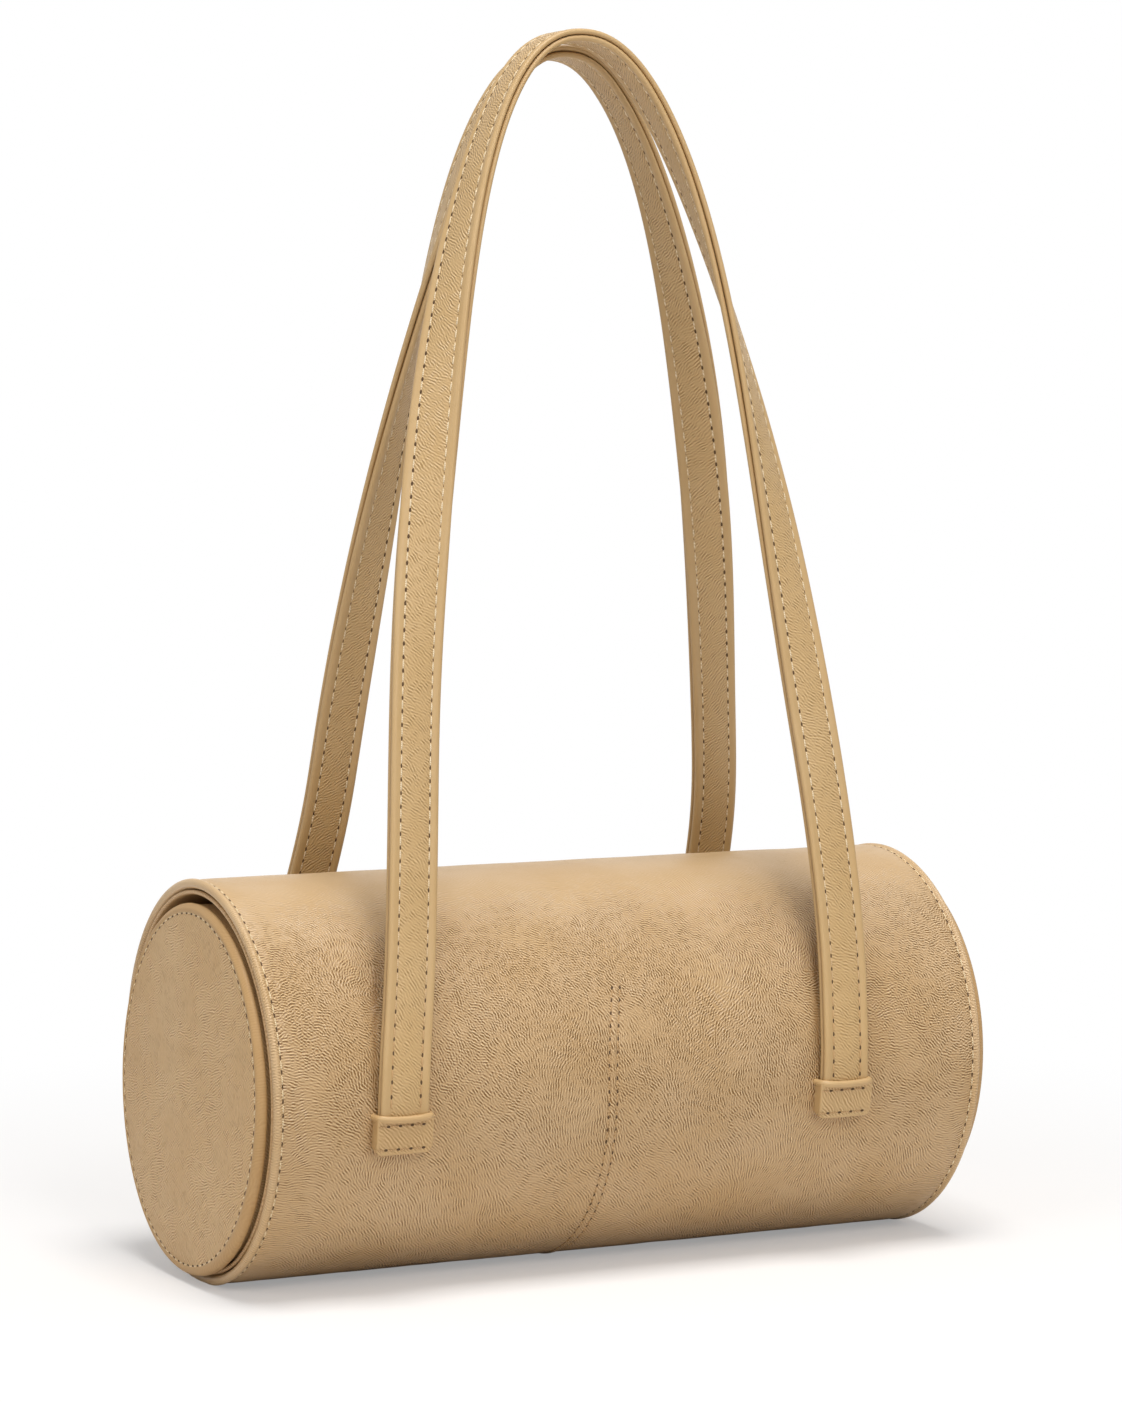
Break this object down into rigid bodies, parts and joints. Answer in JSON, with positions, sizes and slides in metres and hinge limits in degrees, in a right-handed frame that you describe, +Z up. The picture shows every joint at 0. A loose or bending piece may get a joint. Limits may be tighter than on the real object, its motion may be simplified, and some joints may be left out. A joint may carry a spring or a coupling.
{
  "type": "bowling bag",
  "caption": "Barrel-shaped leather bag with round end panels, a hinged plug lid at its left end, and tall flat shoulder straps that twist towards their crest and fold down.",
  "frame": {"origin": "middle of the flat strip that the barrel rests on, halfway along the barrel", "axes": "+X along the barrel, from the lid to the sewn-in end; the front of the bag faces -Y; +Z up through the straps' crest"},
  "size_m": [0.2976, 0.1576, 0.4505],
  "materials": {
    "grained_leather_body": "pebble-grained, soft satin",
    "grained_leather_panels": "fine wrinkled grain, dull satin",
    "strap_leather": "smooth rolled edges, fine grain between the stitch rows",
    "smooth_leather_trim": "smooth, satin",
    "woven_lining": "plain woven cotton, matt",
    "pressed_board": "bonded leather-fibre board, matt",
    "strap_filler": "bonded leather-fibre strip, matt",
    "rim_cord": "twisted cotton piping cord, matt",
    "magnet_steel": "nickel-plated, satin"
  },
  "bodies": {
    "barrel": {"body_leather": "grained_leather_body", "body_board": "pressed_board", "body_lining": "woven_lining", "mouth_facing": "smooth_leather_trim", "end_facing": "smooth_leather_trim", "mouth_rim_cord": "rim_cord", "end_rim_cord": "rim_cord", "belly_band": "smooth_leather_trim", "lid_hinge": "smooth_leather_trim", "mouth_magnet": "magnet_steel", "end_face": "grained_leather_panels", "end_board": "pressed_board", "end_band": "grained_leather_panels", "end_lining": "woven_lining", "front_left_strap_end": "strap_leather", "front_left_keeper": "strap_leather", "front_left_backing_patch": "smooth_leather_trim", "front_right_strap_end": "strap_leather", "front_right_keeper": "strap_leather", "front_right_backing_patch": "smooth_leather_trim", "back_left_strap_end": "strap_leather", "back_left_keeper": "strap_leather", "back_left_backing_patch": "smooth_leather_trim", "back_right_strap_end": "strap_leather", "back_right_keeper": "strap_leather", "back_right_backing_patch": "smooth_leather_trim"},
    "lid": {"lid_face": "grained_leather_panels", "lid_board": "pressed_board", "lid_band": "grained_leather_panels", "lid_lining": "woven_lining", "lid_magnet": "magnet_steel"},
    "front_handle": {"front_strap_face": "strap_leather", "front_strap_core": "strap_filler", "front_strap_backing": "strap_leather"},
    "back_handle": {"back_strap_face": "strap_leather", "back_strap_core": "strap_filler", "back_strap_backing": "strap_leather"}
  },
  "joints": [
    {"name": "lid_open", "type": "hinge", "parent": "barrel", "child": "lid", "pos_m": [-0.1465, 0, 0.0055], "axis": [0, -1, 0], "range_deg": [0, 90]},
    {"name": "front_handle_fold", "type": "hinge", "parent": "barrel", "child": "front_handle", "pos_m": [-0.0045, -0.07525, 0.0714], "axis": [1, 0, 0], "range_deg": [0, 108]},
    {"name": "back_handle_fold", "type": "hinge", "parent": "barrel", "child": "back_handle", "pos_m": [0.008, 0.07525, 0.0714], "axis": [-1, 0, 0], "range_deg": [0, 108]}
  ]
}
